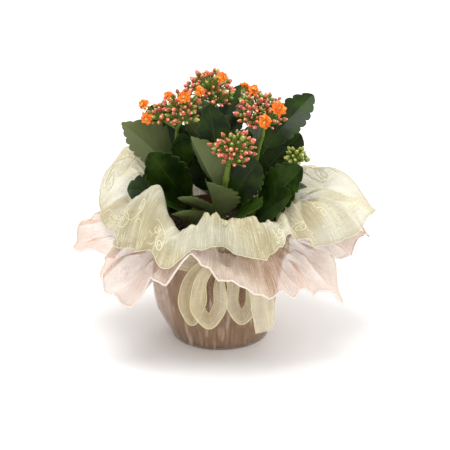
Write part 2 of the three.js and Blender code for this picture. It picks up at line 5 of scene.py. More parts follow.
import bmesh
import bpy
import numpy as np
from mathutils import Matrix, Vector


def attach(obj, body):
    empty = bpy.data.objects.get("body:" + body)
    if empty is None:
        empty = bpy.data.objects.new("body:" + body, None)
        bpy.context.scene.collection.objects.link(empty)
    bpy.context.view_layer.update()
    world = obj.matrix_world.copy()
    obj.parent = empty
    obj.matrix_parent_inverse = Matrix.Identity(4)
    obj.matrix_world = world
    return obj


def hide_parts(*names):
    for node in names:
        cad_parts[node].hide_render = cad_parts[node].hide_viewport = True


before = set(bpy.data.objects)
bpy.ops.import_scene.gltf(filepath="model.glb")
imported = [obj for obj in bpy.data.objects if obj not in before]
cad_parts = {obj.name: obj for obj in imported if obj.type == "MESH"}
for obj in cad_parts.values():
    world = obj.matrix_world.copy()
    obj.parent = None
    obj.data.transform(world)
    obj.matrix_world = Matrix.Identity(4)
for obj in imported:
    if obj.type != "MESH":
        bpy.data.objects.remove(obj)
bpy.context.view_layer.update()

# ---- driving dimensions, millimetres and degrees ----
MM = 0.001
SHEET, CLEAR = 0.8, 0.35  # thickness of a solid sheet, and the air between two solids
CLOTH = 0.3  # thickness of the fine cloth
# Heights of the middle of each sheet and of the pot's underside over the ground
STANDS_AT = {"blush": SHEET / 2, "cream": SHEET * 1.5 + CLEAR, "pot": 2 * (SHEET + CLEAR)}
POT = {"base": 45, "top": 63, "lip_r": 65, "height": 118, "lip": 8, "wall": 2.2, "floor": 3}
SOIL = {"below_lip": 12, "heap": 4, "crumbs": 260, "perlite_every": 9, "seed": 5}
SOIL_Z = STANDS_AT["pot"] + POT["height"] - SOIL["below_lip"]
NECK_Z, LIP_Z = 98, 112.5  # middle of the ribbon, and the cloth over the pot's lip

# A sheet runs over control rows 0 to 5 from the pot's foot to its lip, and on to row 10 at the hem.
LIP_ROW, HEM_ROW = 5, 10
CUP_STEPS, COLLAR_STEPS = 5, 34  # fine rows in each span of the cup, and in the whole collar
AROUND_STEPS = 832
OFF = {"cream": 1.1, "blush": 1.1 + SHEET + 0.75}  # middle of each sheet off the pot's wall
UNDER = 4  # the blush collar below the cream one
GATHER = [0, 1.4, 1.6, 0.9, 0.9, 1.2, 2.4, 3.2, 3.2, 2.6, 2.2]  # depth at each control row
PLEATS = 13
# Cloth that hangs off the wall: heights of its control rows, angle and width of the fullest part, room
SLACK = {"rows": (30, 64), "angle": 188, "width": 38, "least": 0.8, "more": 8.5}
CREST_AT = {"cream": 0.5, "blush": 0.55}
FREE_EDGE = 95  # width of the cloth along the hem that hangs clear of the pot
CLOTH_PER_DEGREE = 1.9
HEM_RADIUS = {"cream": 0.42, "blush": 0.85}
SCROLLS = {"apart": 18, "radius": 0.75, "lowest": 2.0, "per_degree": 1.95}
PLAIN_FRONT = range(250, 300)  # angles where the hem is rolled under and shows no scrolls

# Folds round the sheet as (count, depth), then slanting ones as (count, slant, depth)
TIED_FOLDS = [(47, 0.6), (101, 0.5)]
RUFFLES = [(29, 3.2), (53, 1.4)]
SMALL_RUFFLES = [(37, 0.72), (71, 0.48)]
CRISP_FOLDS = [(149, 0.48)]
BROAD_CREASES = [(9, 0.9, 4.6), (16, -1.3, 3.4)]
FINE_CREASES = [(31, 1.9, 1.0), (45, -1.4, 0.6)]
TIED_SEED, RUFFLE_SEED, CREASE_SEED = 3, 17, 61
SHEET_SEEDS = {"cream": (19, 41, 67), "blush": (29, 53, 71)}  # small ruffles, crisp folds, fine creases

RIBBON = {"width": 16, "thick": 0.3, "band_r": 66.9, "edge_r": 0.42}
KNOT = (-2, -71.1, NECK_Z + 2)
KNOT_TAKES = 60  # length of ribbon inside the knot
RIBBON_POINTS = 9  # across the ribbon

STEM_R = 3.4
STEM_FOOT_Z = SOIL_Z - 25
LEAF_THICK = 1.9
LEAF_TEETH = 8
LEAF_STALK = 0.12  # share of a leaf's length that is stalk
BUD = {"length": 6.7, "radius": 2.25, "stalk": 0.7}
BUD_ROOM, SMALL_BUD_ROOM = 5.7, 0.6  # kept free beside an open flower
BESIDE = 4  # smaller buds for each large one
YOUNG = "side"  # the spray whose buds are still green
BLOOM_FOOT = 0.75  # middle of a flower over its foot, as a share of its size
ANTHERS = {"count": 5, "turn": 2.4, "out": 0.09}
PETAL_THICK = 0.4
POT_SIDES, SOIL_SIDES = 112, 96
GOLDEN_ANGLE = 2.39996
PHASE = 6.28  # range of a phase drawn at random
STEM_SEED, SPRAY_SEED, BLOOM_SEED = 100, 31, 700

# Whorls of a double flower from outside in: petals, reach, width, tilt, cup
WHORLS = [
    (8, 1.0, 0.28, 0, 0.12), (7, 0.86, 0.28, 20, 0.2), (6, 0.68, 0.26, 40, 0.26),
    (5, 0.48, 0.23, 56, 0.3),
]

# Collar of each sheet, counter-clockwise from the right: [angle, reach, hem height, crest height]
COLLAR = {
    "cream": [
        [-90, 90, 128, 158], [-81, 98, 120, 160], [-71, 105, 120, 152], [-59, 105, 125, 145],
        [-49, 96, 131, 144], [-35, 104, 118, 152], [-20, 124, 110, 158], [-7, 140, 115, 150],
        [1, 152, 123, 146], [10, 137, 144, 152], [19, 108, 160, 162], [38, 98, 152, 156],
        [58, 116, 158, 162], [76, 124, 142, 158], [95, 104, 154, 156], [114, 120, 148, 162],
        [134, 104, 160, 162], [153, 108, 172, 176], [165, 124, 138, 168], [177, 116, 108, 128],
        [193, 98, 110, 128], [211, 116, 116, 158], [220, 112, 117, 182], [231, 106, 120, 152],
        [241, 110, 112, 136], [256, 96, 125, 150],
    ],
    "blush": [
        [-90, 100, 99, 116], [-73, 110, 88, 112], [-57, 113, 83, 108], [-44, 117, 79, 104],
        [-32, 137, 68, 104], [-22, 118, 92, 110], [-9, 129, 85, 108], [2, 144, 101, 114],
        [22, 132, 112, 122], [40, 116, 98, 114], [58, 124, 108, 120], [78, 108, 92, 112],
        [98, 126, 104, 120], [118, 110, 92, 112], [138, 120, 106, 122], [158, 128, 108, 120],
        [171, 144, 104, 112], [182, 143, 90, 102], [194, 108, 92, 108], [207, 126, 88, 110],
        [217, 131, 76, 106], [226, 118, 66, 102], [234, 112, 92, 108], [243, 113, 100, 116],
        [254, 99, 119, 128], [264, 96, 110, 122],
    ],
}

# Leafy stems: route, then leaves as [height of the foot, tip x, y, z, width, arch, roll, fold],
# with a roll of 0 and a fold of 0.2 left off
STEMS = {
    "left": ([(-24, 2), (-30, 0), (-40, -2, 198)], [
        [157, -92, -14, 221, 46, 6, 78, 0.8], [128, -65, -42, 201, 42, 6, -120, 0.15],
        [122, -89, -4, 150, 42, 14, -45, 0.1], [176, -66, 14, 229, 38, 6, -60, 0.15],
        [128, -72, 36, 168, 40, 12], [150, -62, 46, 200, 36, 8, 10],
        [118, -56, -46, 157, 34, 9, -35, 0.15], [152, -48, 22, 211, 36, 8, -45, 0.15],
        [111, -46, -34, 136, 28, 6, -25, 0.15], [168, -36, -18, 212, 24, 4, -163],
    ]),
    "centre": ([(-4, 10), (-6, 10), (-10, 12, 214)], [
        [184, -30, -6, 220, 24, 5, 30], [190, 20, 32, 244, 26, 5],
        [178, -34, 34, 222, 32, 8], [172, 22, 34, 214, 30, 6],
        [196, 8, -4, 226, 18, 3, 0, 0.15], [150, 20, -8, 175, 24, 7, 70, 0.15],
        [124, 22, -12, 157, 30, 6, 96, 0.15], [138, -25, 14, 184, 34, 4, -73, 0.15],
    ]),
    "front": ([(2, -22), (2, -30), (8, -34, 186)], [
        [126, -12, -46, 174, 44, 3, -10, 0.7], [128, -38, -60, 164, 22, 7, 28, 0.15],
        [116, -42, -62, 149, 34, 9, 27, 0.1], [120, 39, -66, 158, 30, 9, 30, 0.15],
        [152, -27, -30, 213, 38, 3, 58, 0.8], [158, -10, -8, 237, 36, 2, -20, 0.12],
        [172, 27, -5, 211, 28, 4, 42], [138, 36, -30, 189, 38, 6, 79, 0.15],
    ]),
    "right": ([(22, 6), (28, 4), (40, -4, 204)], [
        [150, 78, 12, 201, 44, 6, 58], [182, 90, 34, 234, 34, 4, 39, 0.3],
        [140, 74, 44, 172, 40, 10], [176, 46, 52, 212, 32, 7],
        [126, 84, 4, 150, 34, 10],
    ]),
    "back": ([(0, 30), (0, 38), (2, 48, 196)], [
        [150, -48, 76, 184, 40, 9], [144, 46, 80, 180, 40, 10],
        [124, 2, 92, 160, 42, 12], [124, -45, 56, 152, 30, 10],
        [176, -24, 80, 216, 28, 6], [178, 28, 82, 214, 28, 6],
        [124, 46, 58, 152, 30, 10],
    ]),
    "side": ([(26, -16), (32, -20), (58, -22, 168)], [
        [130, 77, -46, 188, 46, -2, 66], [117, 67, -54, 164, 36, 6, 50, 0.15],
    ]),
}

# Flower sprays: the stem where its name differs, fork, heads [x, y, z, radius, buds]
# and blooms [head, x, y, z, size, facing x, y, z]
SPRAYS = {
    "top": {
        "stem": "centre", "fork": (-8, 12, 228),
        "heads": [[-12, 6, 262, 20, 12], [4, 0, 244, 15, 6], [-14, 32, 246, 14, 6]],
        "blooms": [[0, 3, -6, 263, 6.5, 0.5, -0.8, 0.6], [2, -13, 42, 250, 7, 0, 0.8, 0.6]],
    },
    "left": {
        "fork": (-40, -6, 213),
        "heads": [[-33, -14, 247, 17, 11], [-64, -10, 230, 15, 8], [-31, -26, 233, 13, 5]],
        "blooms": [
            [0, -33, -26, 250, 7.5, -0.1, -0.9, 0.5], [0, -48, -18, 249, 5.5, -0.7, -0.6, 0.5],
            [0, -18, -20, 254, 6, 0.4, -0.7, 0.7], [1, -71, -13, 239, 6.5, -0.5, -0.8, 0.5],
            [1, -68, -22, 228, 6.5, -0.2, -1, 0.1],
        ],
    },
    "right": {
        "fork": (41, -8, 218),
        "heads": [
            [30, 4, 244, 16, 8], [50, -18, 229, 17, 11], [21, -22, 231, 13, 6], [50, 6, 240, 10, 3],
        ],
        "blooms": [
            [0, 32, -2, 250, 6, 0, -0.6, 0.8], [1, 55, -29, 240, 8, 0.2, -0.9, 0.5],
            [1, 42, -33, 228, 8, -0.2, -1, 0.3],
        ],
    },
    "front": {
        "fork": (12, -38, 197),
        "heads": [[18, -44, 216, 19, 13], [16, -55, 198, 10, 4]],
        "blooms": [],
    },
    "back": {
        "fork": (2, 48, 210),
        "heads": [[-16, 56, 232, 15, 6], [20, 54, 226, 15, 6]],
        "blooms": [
            [0, -20, 66, 238, 8, -0.2, 0.9, 0.5], [0, -6, 62, 238, 7, 0.2, 0.7, 0.7],
            [1, 24, 64, 231, 8, 0.2, 0.9, 0.5], [1, 33, 54, 229, 7, 0.8, 0.2, 0.6],
        ],
    },
    "side": {"fork": (67, -20, 180), "heads": [[77, -14, 191, 9, 6]], "blooms": []},
}

# Studio, in metres and degrees; area lights as name, place, size, power
CAMERA = {"place": (0.005, -1.39078, 0.67408), "tilt": 68, "lens": 123.36, "sensor": 36}
LIT_POINT = (0, 0, 0.12)
FLOOR_REACH = 30
LIGHTS = [
    ("overhead", (-0.2, -0.1, 1.3), 0.8, 11), ("right", (1.2, -0.1, 0.8), 0.6, 4),
    ("behind", (0.4, 1.2, 1.0), 0.7, 5),
]

# Ribbon runs: how far forward, twist on the straps and at the turn, route as (x, height)
RUNS = [
    [70.5, (44, 62), [(-4, 100), (-16, 101), (-29, 84), (-33, 62), (-26, 45), (-19, 62),
                      (-17, 84), (-6, 99)]],
    [77.5, (40, 58), [(-4, 101), (-13, 97), (-19, 82), (-21, 60), (-10, 45), (0, 60),
                      (0, 82), (-1, 100)]],
    [71, (44, 62), [(0, 101), (8, 98), (13, 82), (12, 61), (21, 46), (30, 61), (29, 82),
                    (18, 97), (2, 99)]],
    [77, (12, 12), [(0, 100), (20, 99), (34, 82), (38, 58), (42, 34)]],
    [69, (62, 62), [(0, 99), (26, 98), (42, 86), (47, 64), (49, 35)]],
]


# ---- small tools ----
def mix(a, b, t):
    return a + (b - a) * t


def held(t):
    """A value held between 0 and 1."""
    return np.clip(t, 0, 1)


def smooth(t):
    """A soft step from 0 to 1."""
    t = held(t)
    return t * t * (3 - 2 * t)


def spread(*values):
    """Vectors made of values that are repeated over one grid."""
    return np.stack(np.broadcast_arrays(*values), -1)


def both_sides(upper, under):
    """Rows that run over a thin form and back below it, with shared edges."""
    return np.concatenate([upper, under[:, 1:-1][:, ::-1]], 1)


def seeded(seed):
    state = [seed]

    def draw():
        state[0] = (state[0] * 1664525 + 1013904223) % 4294967296
        return state[0] / 4294967296

    return draw


def unit(v):
    """Each vector of an array at length 1."""
    return v / np.maximum(np.linalg.norm(v, axis=-1, keepdims=True), 1e-9)


def basis(axis):
    """Two directions square to an axis and to each other."""
    axis = unit(np.array(axis, float))
    side = unit(np.cross((1, 0.13, 0.07), axis))
    return side, np.cross(axis, side)


def directions(side, other, count):
    """Directions all round in equal steps, in the plane of two others."""
    turn = np.arange(count) * math.tau / count
    return side[..., None, :] * np.cos(turn)[:, None] + other[..., None, :] * np.sin(turn)[:, None]


def sphere_direction(polar, turn):
    return np.array([math.sin(polar) * math.cos(turn), math.sin(polar) * math.sin(turn), math.cos(polar)])


def bezier(points, t):
    """Points of a quadratic or cubic curve at t, and its directions."""
    t = np.asarray(t, float)[..., None]
    level, before = [np.array(p, float) for p in points], None
    while len(level) > 1:
        before = level
        level = [mix(a, b, t) for a, b in zip(level, level[1:])]
    return level[0], unit(before[1] - before[0] + 0 * t)


def through(points, t):
    """A centripetal curve through points, at t from 0 to 1, as the solids follow it."""
    points = np.array(points, float)
    ends = [2 * points[0] - points[1], 2 * points[-1] - points[-2]]
    points = np.vstack([ends[0], points, ends[1]])
    spans = len(points) - 3
    found = []
    for place in np.asarray(t) * spans:
        k = min(int(place), spans - 1)
        level = list(points[k:k + 4])
        knots = [0.0]
        for a, b in zip(level, level[1:]):
            knots.append(knots[-1] + max(np.linalg.norm(b - a) ** 0.5, 1e-4))
        x = mix(knots[1], knots[2], place - k)
        for order in (1, 2, 3):
            nearer = []
            for i, (a, b) in enumerate(zip(level, level[1:])):
                low, high = (knots[i], knots[i + order]) if order < 3 else (knots[1], knots[2])
                nearer.append(mix(a, b, (x - low) / (high - low)))
            level = nearer
        found.append(level[0])
    return np.array(found)


class Shape:
    """Collects grids of points with their faces, and marks each point for the materials."""

    def __init__(self):
        self.points, self.marks, self.faces, self.slots = [], [], [], []
        self.count = 0

    def grid(self, points, marks=(0, 0, 0), slot=0, capped=True):
        """Joins rows of points that close on themselves, with a face over each end if capped."""
        rows, columns = points.shape[:2]
        number = np.arange(rows * columns).reshape(rows, columns) + self.count
        there = np.roll(number, -1, 1)
        quads = np.stack([number[:-1], there[:-1], there[1:], number[1:]], -1).reshape(-1, 4)
        self.faces += quads.tolist()
        if capped:
            self.faces += [number[0][::-1].tolist(), number[-1].tolist()]
        self.slots += [slot] * (len(self.faces) - len(self.slots))
        self.points.append(points.reshape(-1, 3))
        self.marks.append(np.broadcast_to(marks, points.shape).reshape(-1, 3))
        self.count += rows * columns

    def tube(self, path, radius, sides=6, slot=0, mark=(0, 0, 0), closed=False):
        """A round rod along a path, with its own radius at each point if given a list."""
        path = np.array(path, float)
        if closed:
            ahead = unit(np.roll(path, -1, 0) - np.roll(path, 1, 0))
        else:
            ahead = unit(np.gradient(path, axis=0))
        side = np.empty_like(path)
        side[0] = basis(ahead[0])[0]
        for k in range(1, len(path)):
            side[k] = side[k - 1] - ahead[k] * np.dot(side[k - 1], ahead[k])
            side[k] /= np.linalg.norm(side[k])
        reach = np.broadcast_to(np.array(radius, float), (len(path),))[:, None, None]
        points = path[:, None] + reach * directions(side, np.cross(ahead, side), sides)
        if closed:
            points = np.concatenate([points, points[:1]])
        self.grid(points, mark, slot, capped=not closed)


def add_object(name, data):
    made = bpy.data.objects.new(name, data)
    bpy.context.scene.collection.objects.link(made)
    return made


def make_piece(name, shape, materials, sharp, slot, *replaced):
    """Turns a shape into an object in metres that rides on the frame."""
    mesh = bpy.data.meshes.new(name)
    mesh.from_pydata(np.concatenate(shape.points) * MM, [], shape.faces)
    mesh.polygons.foreach_set("material_index", shape.slots)
    mark = mesh.attributes.new("mark", "FLOAT_VECTOR", "POINT")
    mark.data.foreach_set("vector", np.concatenate(shape.marks).astype(np.float32).ravel())
    bm = bmesh.new()
    bm.from_mesh(mesh)
    bmesh.ops.remove_doubles(bm, verts=bm.verts, dist=1e-7)
    bmesh.ops.recalc_face_normals(bm, faces=bm.faces)
    bm.to_mesh(mesh)
    bm.free()
    mesh.shade_smooth()
    mesh.set_sharp_from_angle(angle=math.radians(sharp))
    piece = add_object(name, mesh)
    for material in materials:
        mesh.materials.append(material)
    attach(piece, "root")
    if replaced:
        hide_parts(*replaced)
    return piece


# ---- materials ----
class Look:
    """A principled material and short calls that add one node each."""

    def __init__(self, name, **values):
        self.material = bpy.data.materials.new(name)
        self.material.use_nodes = True
        self.tree = self.material.node_tree
        self.shader = self.tree.nodes["Principled BSDF"]
        for socket, value in values.items():
            self.shader.inputs[socket.replace("_", " ")].default_value = value

    def node(self, kind, inputs=(), **settings):
        made = self.tree.nodes.new(kind)
        for key, value in settings.items():
            setattr(made, key, value)
        for socket, value in dict(inputs).items():
            self.put(made.inputs[socket], value)
        return made

    def put(self, socket, value):
        if isinstance(value, bpy.types.NodeSocket):
            self.tree.links.new(value, socket)
        else:
            socket.default_value = value

    def place(self):
        """The point on the object, in metres."""
        return self.node("ShaderNodeTexCoord").outputs["Object"]

    def mark(self):
        """The three marks of the surface: across, along, and side or kind."""
        split = self.node("ShaderNodeSeparateXYZ", {0: self.attribute("mark")})
        return split.outputs[0], split.outputs[1], split.outputs[2]

    def attribute(self, name):
        return self.node("ShaderNodeAttribute", attribute_name=name).outputs["Vector"]

    def scaled(self, vector, factors):
        return self.node("ShaderNodeVectorMath", {0: vector, 1: factors}, operation="MULTIPLY").outputs[0]

    def noise(self, vector, scale, detail=3.0, roughness=0.5):
        made = self.node("ShaderNodeTexNoise", {"Vector": vector, "Scale": scale, "Detail": detail,
                                                "Roughness": roughness})
        return made.outputs["Fac"]

    def calc(self, operation, a, b=0.0, c=0.0):
        return self.node("ShaderNodeMath", {0: a, 1: b, 2: c}, operation=operation).outputs[0]

    def times(self, a, b):
        return self.calc("MULTIPLY", a, b)

    def span(self, value, low, high, to_low=0.0, to_high=1.0):
        """Value between low and high as a share, or between two other values."""
        made = self.node("ShaderNodeMapRange", {0: value, 1: low, 2: high, 3: to_low, 4: to_high},
                         interpolation_type="SMOOTHSTEP")
        return made.outputs[0]

    def blend(self, share, a, b):
        made = self.node("ShaderNodeMix", data_type="RGBA")
        for socket, value in ((0, share), (6, a), (7, b)):
            self.put(made.inputs[socket], value)
        return made.outputs[2]

    def layered(self, colour, *layers):
        """A colour with tones laid over it, each where a value runs from low to high, up to a share."""
        for tone, value, low, high, most in layers:
            colour = self.blend(self.span(value, low, high, 0, most), colour, rgb(*tone))
        return colour

    def bump(self, height, distance, strength):
        inputs = {"Height": height, "Distance": distance, "Strength": strength}
        return self.node("ShaderNodeBump", inputs).outputs[0]

    def wire(self, **links):
        for socket, output in links.items():
            self.put(self.shader.inputs[socket.replace("_", " ")], output)
        return self.material


def rgb(*screen):
    """A colour as seen on screen, in the shader's own linear numbers."""
    return (*(((c / 255 + 0.055) / 1.055) ** 2.4 if c > 10 else c / 3295 for c in screen), 1)


def grain_look(name, low, high, noise, bump, stretch=None, window=None, **values):
    """One grain that colours the surface from low to high and makes it rough to the touch."""
    look = Look(name, **values)
    place = look.scaled(look.place(), stretch) if stretch else look.place()
    grain = look.noise(place, *noise)
    tone = look.span(grain, *window) if window else grain
    return look.wire(Base_Color=look.blend(tone, rgb(*low), rgb(*high)), Normal=look.bump(grain, *bump))


def thread_look(name, low, high):
    return grain_look(name, low, high, (900, 2), (0.0003, 0.4), Roughness=0.4, Sheen_Weight=0.3)


def leaf_look():
    """Dark blades that are paler below, with a light rib, side veins and a pale margin that is partly the
    blade's own edge colour and partly painted rim light.
    """
    look = Look("kalanchoe leaf", Specular_IOR_Level=0.22)
    across, along, side = look.mark()
    off_rib = look.calc("ABSOLUTE", across)
    place = look.place()
    patches = look.noise(place, 60)
    grain = look.noise(place, 900, 4)
    rib = look.span(off_rib, 0.035, 0.0)
    slant = look.calc("SUBTRACT", look.times(along, 9.0), look.times(off_rib, 2.6))
    wave = look.calc("PINGPONG", slant, 0.5)
    side_vein = look.times(look.span(wave, 0.05, 0.0), look.span(off_rib, 0.95, 0.3))
    vein = look.calc("MAXIMUM", rib, look.times(side_vein, 0.4))
    upper = look.blend(look.span(patches, 0.3, 0.7), rgb(15, 32, 3), rgb(44, 68, 10))
    upper = look.blend(look.times(vein, 0.4), upper, rgb(92, 116, 52))
    under = look.blend(patches, rgb(86, 98, 56), rgb(114, 124, 80))
    under = look.blend(look.times(vein, 0.45), under, rgb(146, 154, 104))
    colour = look.blend(side, upper, under)
    # pale margin along the blade's edge: partly the leaf's own edge colour, partly a painted rim light
    colour = look.layered(colour, ((92, 112, 52), off_rib, 0.93, 1.0, 0.5),
                          ((130, 145, 90), grain, 0.62, 0.75, 0.12))
    ridges = look.calc("SUBTRACT", look.times(grain, 0.35), look.times(vein, 0.6))
    gloss = look.span(patches, 0.3, 0.7, 0.34, 0.46)
    rough = look.calc("MULTIPLY_ADD", side, 0.16, gloss)
    return look.wire(Base_Color=colour, Roughness=rough, Normal=look.bump(ridges, 0.0005, 0.45))


def bud_look():
    """Buds run from a yellow-green foot through salmon pink to a pale tip, and the youngest are green."""
    look = Look("pink bud", Roughness=0.42)
    across, along, kind = look.mark()
    patches = look.noise(look.place(), 420, 2)
    seam = look.calc("PINGPONG", look.times(across, 4.0), 0.5)
    colour = look.blend(look.span(kind, 0.0, 0.7), rgb(222, 104, 88), rgb(186, 66, 70))
    colour = look.layered(
        colour, ((234, 136, 100), patches, 0.4, 0.7, 1), ((140, 50, 48), seam, 0.06, 0.0, 0.5),
        ((140, 156, 60), kind, 0.72, 0.8, 1), ((150, 162, 66), along, 0.42, 0.16, 1),
        ((242, 214, 146), along, 0.78, 0.97, 1))
    return look.wire(Base_Color=colour, Normal=look.bump(patches, 0.0003, 0.3))


def petal_look():
    """Orange petals, yellower towards the middle of the flower and along their edge."""
    look = Look("orange petal", Roughness=0.55, Sheen_Weight=0.15)
    across, along, whorl = look.mark()
    streak = look.noise(look.scaled(look.attribute("mark"), (16, 1.5, 1)), 1.0)
    patches = look.noise(look.place(), 260, 2)
    colour = look.blend(look.span(streak, 0.3, 0.7), rgb(250, 102, 0), rgb(255, 150, 12))
    colour = look.layered(
        colour, ((255, 190, 60), patches, 0.54, 0.66, 1), ((255, 176, 36), along, 0.5, 0.05, 1),
        ((255, 204, 72), whorl, 0.6, 1.0, 0.7),
        ((255, 168, 44), look.calc("ABSOLUTE", across), 0.75, 1.0, 0.35),
        ((255, 238, 172), whorl, 1.05, 1.2, 1))
    return look.wire(Base_Color=colour, Normal=look.bump(streak, 0.0004, 0.4))


def organza_look(name, thin, dense, pale, clear, tight, hugging=1.0):
    """Sheer cloth: fine threads both ways, and open where they lie further apart, with painted highlights
    along creases and painted shade where it hugs the pot.
    """
    look = Look(name, Roughness=0.42, Sheen_Weight=0.35, Specular_IOR_Level=0.5)
    cloth = look.attribute("mark")
    free = look.mark()[2]

    def streaks(across, along, detail=2):
        return look.noise(look.scaled(cloth, (across, along, 1)), 1.0, detail)

    threads = look.calc("MULTIPLY_ADD", streaks(0.06, 2.4), 0.45, look.times(streaks(2.6, 0.04), 0.55))
    body = look.calc("MULTIPLY_ADD", streaks(0.05, 0.03, 3), 0.5, look.times(threads, 0.5))
    fold = streaks(0.16, 0.014, 3)
    doubled = look.span(fold, 0.5, 0.66, 0, 0.4)
    # painted highlights: thin pale lines along made-up creases, which also make the cloth more opaque there
    crease_highlight = look.span(look.calc("ABSOLUTE", look.calc("SUBTRACT", fold, 0.47)), 0.014, 0.0)
    tuck = look.span(streaks(0.08, 0.035), 0.56, 0.61, 0, 0.4)
    tuck = look.times(tuck, look.calc("SUBTRACT", 1.0, free))
    # painted crease highlights, added to doubled layers of cloth and pale tucks
    highlight_and_layers = look.calc("ADD", look.calc("MULTIPLY_ADD", crease_highlight, 0.6, doubled), tuck)
    cover = look.span(body, 0.38, 0.62, clear, tight)
    alpha = look.times(cover, look.span(free, 0.0, 1.0, hugging, 1.0))
    alpha = look.calc("MULTIPLY_ADD", highlight_and_layers, 0.3, alpha)
    colour = look.blend(look.calc("ADD", highlight_and_layers, look.span(threads, 0.3, 0.7, 0.1, 0.5)), thin, dense)
    # painted shade: where the cloth hugs the pot it is tinted brown as if in shadow over the brown pot,
    # less so along the painted highlights and layers
    shade = look.times(look.span(free, 0.0, 1.0, 0.7, 0.0), look.calc("SUBTRACT", 1.0, highlight_and_layers))
    colour = look.blend(shade, colour, rgb(172, 128, 90))
    clouds = look.noise(look.place(), 16, 2)
    colour = look.blend(look.times(look.span(clouds, 0.42, 0.6, 0, 0.55), free), colour, pale)
    return look.wire(Base_Color=colour, Alpha=alpha, Normal=look.bump(threads, 0.0003, 0.25))


def pot_look():
    look = Look("brown pot plastic", Specular_IOR_Level=0.45)
    place = look.place()
    grain = look.noise(place, 1400, 5)
    cloud = look.noise(place, 45, 3)
    colour = look.blend(cloud, rgb(108, 70, 46), rgb(138, 96, 66))
    colour = look.layered(colour, ((88, 56, 38), grain, 0.45, 0.7, 1))
    rough = look.span(grain, 0.3, 0.7, 0.42, 0.62)
    return look.wire(Base_Color=colour, Roughness=rough, Normal=look.bump(grain, 0.0004, 0.5))


def floor_look():
    look = Look("pale floor", Roughness=0.7, Specular_IOR_Level=0.2)
    tone = look.noise(look.place(), 30, 2)
    return look.wire(Base_Color=look.blend(tone, (0.92, 0.92, 0.92, 1), (0.94, 0.94, 0.94, 1)))


LEAF, BUD_PINK, PETAL = leaf_look(), bud_look(), petal_look()
STALK = grain_look("green stalk", (78, 104, 26), (132, 154, 62), (500,), (0.0003, 0.4),
                   stretch=(1, 1, 0.15), Roughness=0.5, Specular_IOR_Level=0.3)
CREAM = organza_look("cream organza", rgb(190, 176, 124), rgb(234, 227, 196), rgb(232, 232, 216),
                     clear=0.42, tight=0.7, hugging=0.34)
BLUSH = organza_look("blush organza", rgb(208, 168, 140), rgb(238, 214, 196), rgb(236, 224, 214),
                     clear=0.34, tight=0.56, hugging=0.4)
RIBBON_IVORY = organza_look("ivory ribbon", rgb(222, 206, 164), rgb(246, 238, 208), rgb(246, 238, 214),
                            clear=0.3, tight=0.5)
CREAM_HEM = thread_look("cream hem", (212, 202, 160), (238, 230, 196))
BLUSH_HEM = thread_look("blush hem", (232, 210, 194), (250, 236, 226))
RIBBON_EDGE = thread_look("ribbon edge", (216, 202, 148), (236, 226, 178))
SCROLL = thread_look("tone on tone scroll", (212, 204, 164), (234, 228, 196))
PEAT = grain_look("peat", (38, 26, 18), (92, 66, 46), (350, 6, 0.7), (0.0015, 0.8),
                  window=(0.35, 0.7), Roughness=0.95)
PERLITE = grain_look("perlite", (196, 190, 176), (240, 238, 230), (900, 3), (0.0006, 0.6), Roughness=0.9)


# ---- the pot and its soil ----
def pot_radius(z):
    return mix(POT["base"], POT["top"], held((z - STANDS_AT["pot"]) / (POT["height"] - POT["lip"])))


def lathe(profile, sides):
    """Points of a closed profile of (radius, height) turned round the axis."""
    turn = np.arange(sides) * math.tau / sides
    radius, height = np.array(profile, float)[:, :, None].transpose(1, 0, 2)
    return spread(radius * np.cos(turn), radius * np.sin(turn), height)


def make_pot():
    base, top, lip_r, wall = POT["base"], POT["top"], POT["lip_r"], POT["wall"]
    rim = POT["height"]
    under_lip = rim - POT["lip"]
    round_off = 0.6
    outline = [(0.5, 0), (base - 3, 0), (base - 2, 1.2), (base - 1, 0.3), (base, 0.8)]
    outline += [(mix(base, top, part), under_lip * part) for part in (0.25, 0.5, 0.75)]
    outline += [
        (top, under_lip - round_off), (top + 0.3, under_lip), (lip_r - round_off, under_lip),
        (lip_r, under_lip + round_off), (lip_r, rim - round_off), (lip_r - round_off, rim),
        (lip_r - wall + round_off, rim), (lip_r - wall, rim - round_off),
        (top - wall, under_lip - wall), (mix(base, top, 0.5) - wall, under_lip * 0.5),
        (base - wall, POT["floor"] + 1), (base - wall - 1, POT["floor"]), (0.5, POT["floor"]),
    ]
    shape = Shape()
    shape.grid(lathe([(r, z + STANDS_AT["pot"]) for r, z in outline], POT_SIDES))
    make_piece("pot_shell", shape, [pot_look()], 35, "pot_plastic", "pot")


def make_soil():
    """Peat with a crumbly top, loose crumbs and a little perlite."""
    random = seeded(SOIL["seed"])
    low = STANDS_AT["pot"] + POT["floor"] + CLEAR
    inner, inner_low = (pot_radius(z) - POT["wall"] - CLEAR - 0.2 for z in (SOIL_Z, low))
    rings = [(0.5, low), (inner_low, low), (inner, SOIL_Z)]
    rings += [(inner * out, SOIL_Z + SOIL["heap"] * (1 - out * out)) for out in np.linspace(0.97, 0.01, 26)]
    points = lathe(rings, SOIL_SIDES)
    lumps = [(random() * 9, random() * 9, 0.08 + 0.5 * random(), 0.08 + 0.5 * random()) for _ in range(14)]
    bumps = sum(np.sin(points[..., 0] * a + p) * np.sin(points[..., 1] * b + q) for p, q, a, b in lumps)
    points[..., 2] += np.where(points[..., 2] > SOIL_Z + 0.1, bumps * 0.32, 0)
    shape = Shape()
    shape.grid(points)
    for i in range(SOIL["crumbs"]):
        out = inner * 0.96 * math.sqrt(random())
        turn = math.tau * random()
        size = 0.8 + 1.6 * random() ** 2
        height = SOIL_Z + SOIL["heap"] * (1 - (out / inner) ** 2) + 0.3
        place = np.array([out * math.cos(turn), out * math.sin(turn), height])
        shape.grid(place + size * crumb(random), slot=int(i % SOIL["perlite_every"] == 0))
    make_piece("soil_bed", shape, [PEAT, PERLITE], 60, "soil", "potting_soil")


